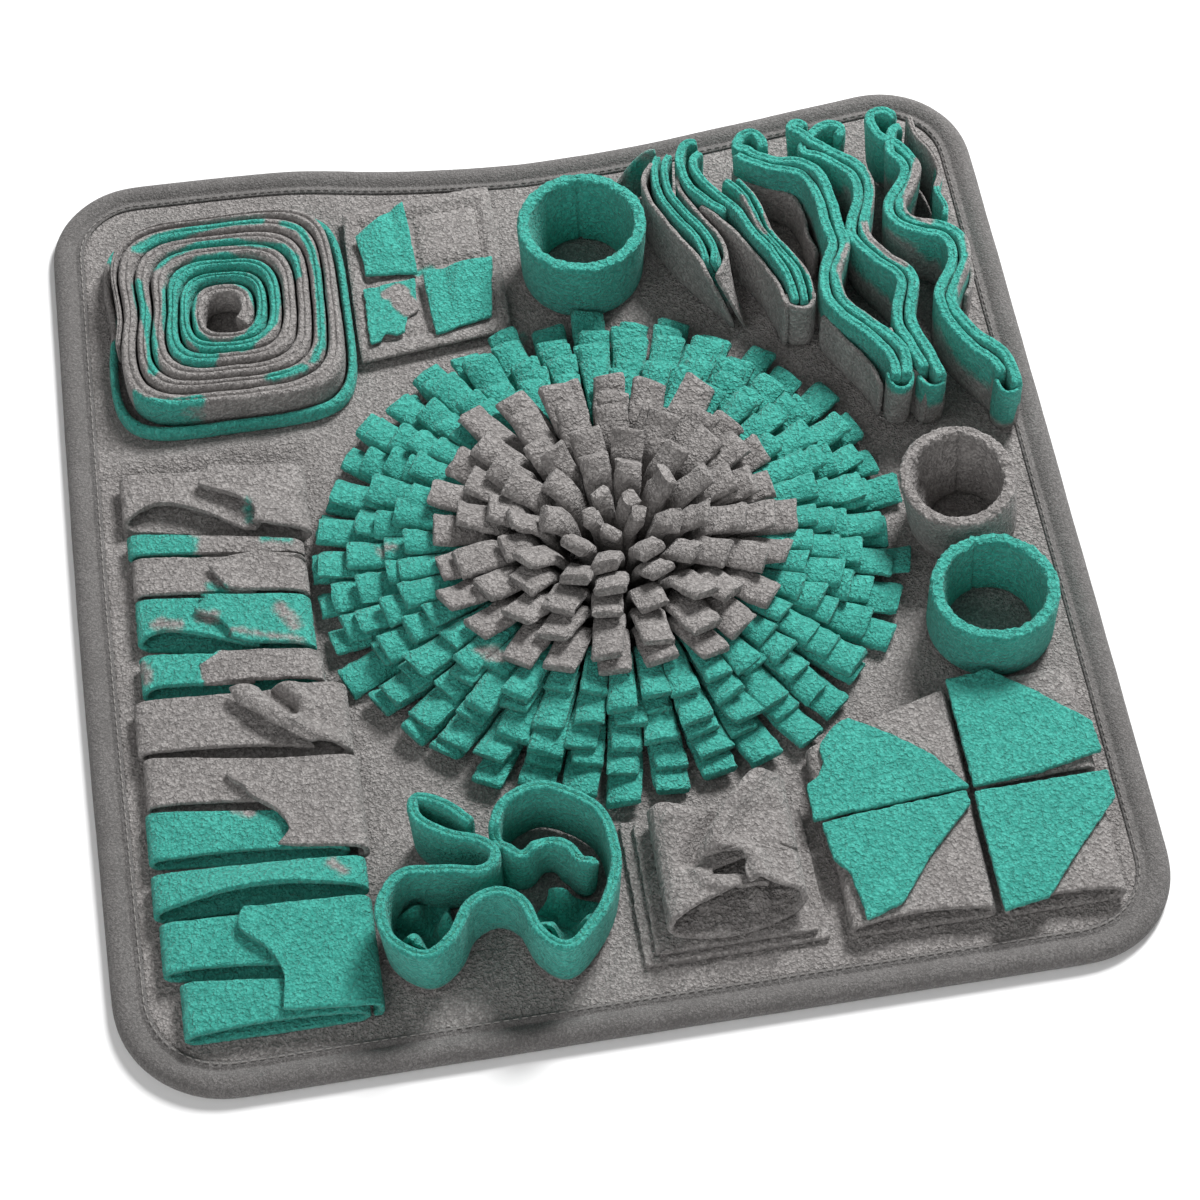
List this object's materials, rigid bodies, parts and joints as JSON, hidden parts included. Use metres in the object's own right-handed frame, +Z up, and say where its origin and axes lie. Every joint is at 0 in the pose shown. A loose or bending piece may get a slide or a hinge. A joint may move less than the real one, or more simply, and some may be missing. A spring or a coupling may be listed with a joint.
{
  "type": "snuffle mat",
  "caption": "Square fleece snuffle mat for dogs, with a padded rim, a fringed flower and sewn coils, cups, ruffles, loops, folds and pockets that hide treats.",
  "frame": {"origin": "middle of the mat's underside, on the floor", "axes": "+X to the right along the near edge, +Y to the edge with the coil and the ruffles, +Z up from the floor"},
  "size_m": [0.454, 0.495, 0.0513],
  "materials": {
    "fleece_teal": "napped fleece",
    "fleece_grey": "napped fleece",
    "panel_grey": "napped fleece"
  },
  "bodies": {
    "root": {"base_panel": "panel_grey", "clover_scrap_left": "fleece_teal", "clover_scrap_right": "fleece_teal", "clover_wall": "fleece_teal", "coil_border": "fleece_teal", "coil_windings": "fleece_grey", "cup_back": "fleece_teal", "cup_front": "fleece_teal", "cup_grey": "fleece_grey", "edge_binding": "panel_grey", "envelope_base_lower": "fleece_grey", "envelope_base_upper": "fleece_grey", "envelope_sleeve": "fleece_grey", "fringe_grey_1": "fleece_grey", "fringe_grey_2": "fleece_grey", "fringe_grey_3": "fleece_grey", "fringe_grey_4": "fleece_grey", "fringe_grey_5": "fleece_grey", "fringe_grey_6": "fleece_grey", "fringe_teal_1": "fleece_teal", "fringe_teal_2": "fleece_teal", "fringe_teal_3": "fleece_teal", "fringe_teal_4": "fleece_teal", "fringe_teal_5": "fleece_teal", "loop_arch": "fleece_teal", "loop_curl": "fleece_grey", "loop_lower_grey": "fleece_teal", "loop_lower_teal": "fleece_teal", "loop_mixed": "fleece_teal", "loop_plain": "fleece_grey", "loop_slim": "fleece_teal", "loop_torn": "fleece_teal", "loop_twist": "fleece_grey", "loop_upper_grey": "fleece_grey", "loop_upper_teal": "fleece_teal", "patch_kite_flap": "fleece_teal", "patch_panel": "fleece_grey", "patch_square_flap": "fleece_teal", "patch_torn_piece": "fleece_teal", "pocket_far_left": "fleece_grey", "pocket_far_right": "fleece_grey", "pocket_flap_far_left": "fleece_teal", "pocket_flap_far_right": "fleece_teal", "pocket_flap_near_left": "fleece_teal", "pocket_flap_near_right": "fleece_teal", "pocket_near_left": "fleece_grey", "pocket_near_right": "fleece_grey", "ruffle_1": "fleece_teal", "ruffle_2": "fleece_teal", "ruffle_3": "fleece_teal", "ruffle_4": "fleece_teal", "ruffle_5": "fleece_teal", "ruffle_6": "fleece_grey", "tab_grey": "fleece_grey", "tab_teal": "fleece_teal"}
  },
  "joints": []
}
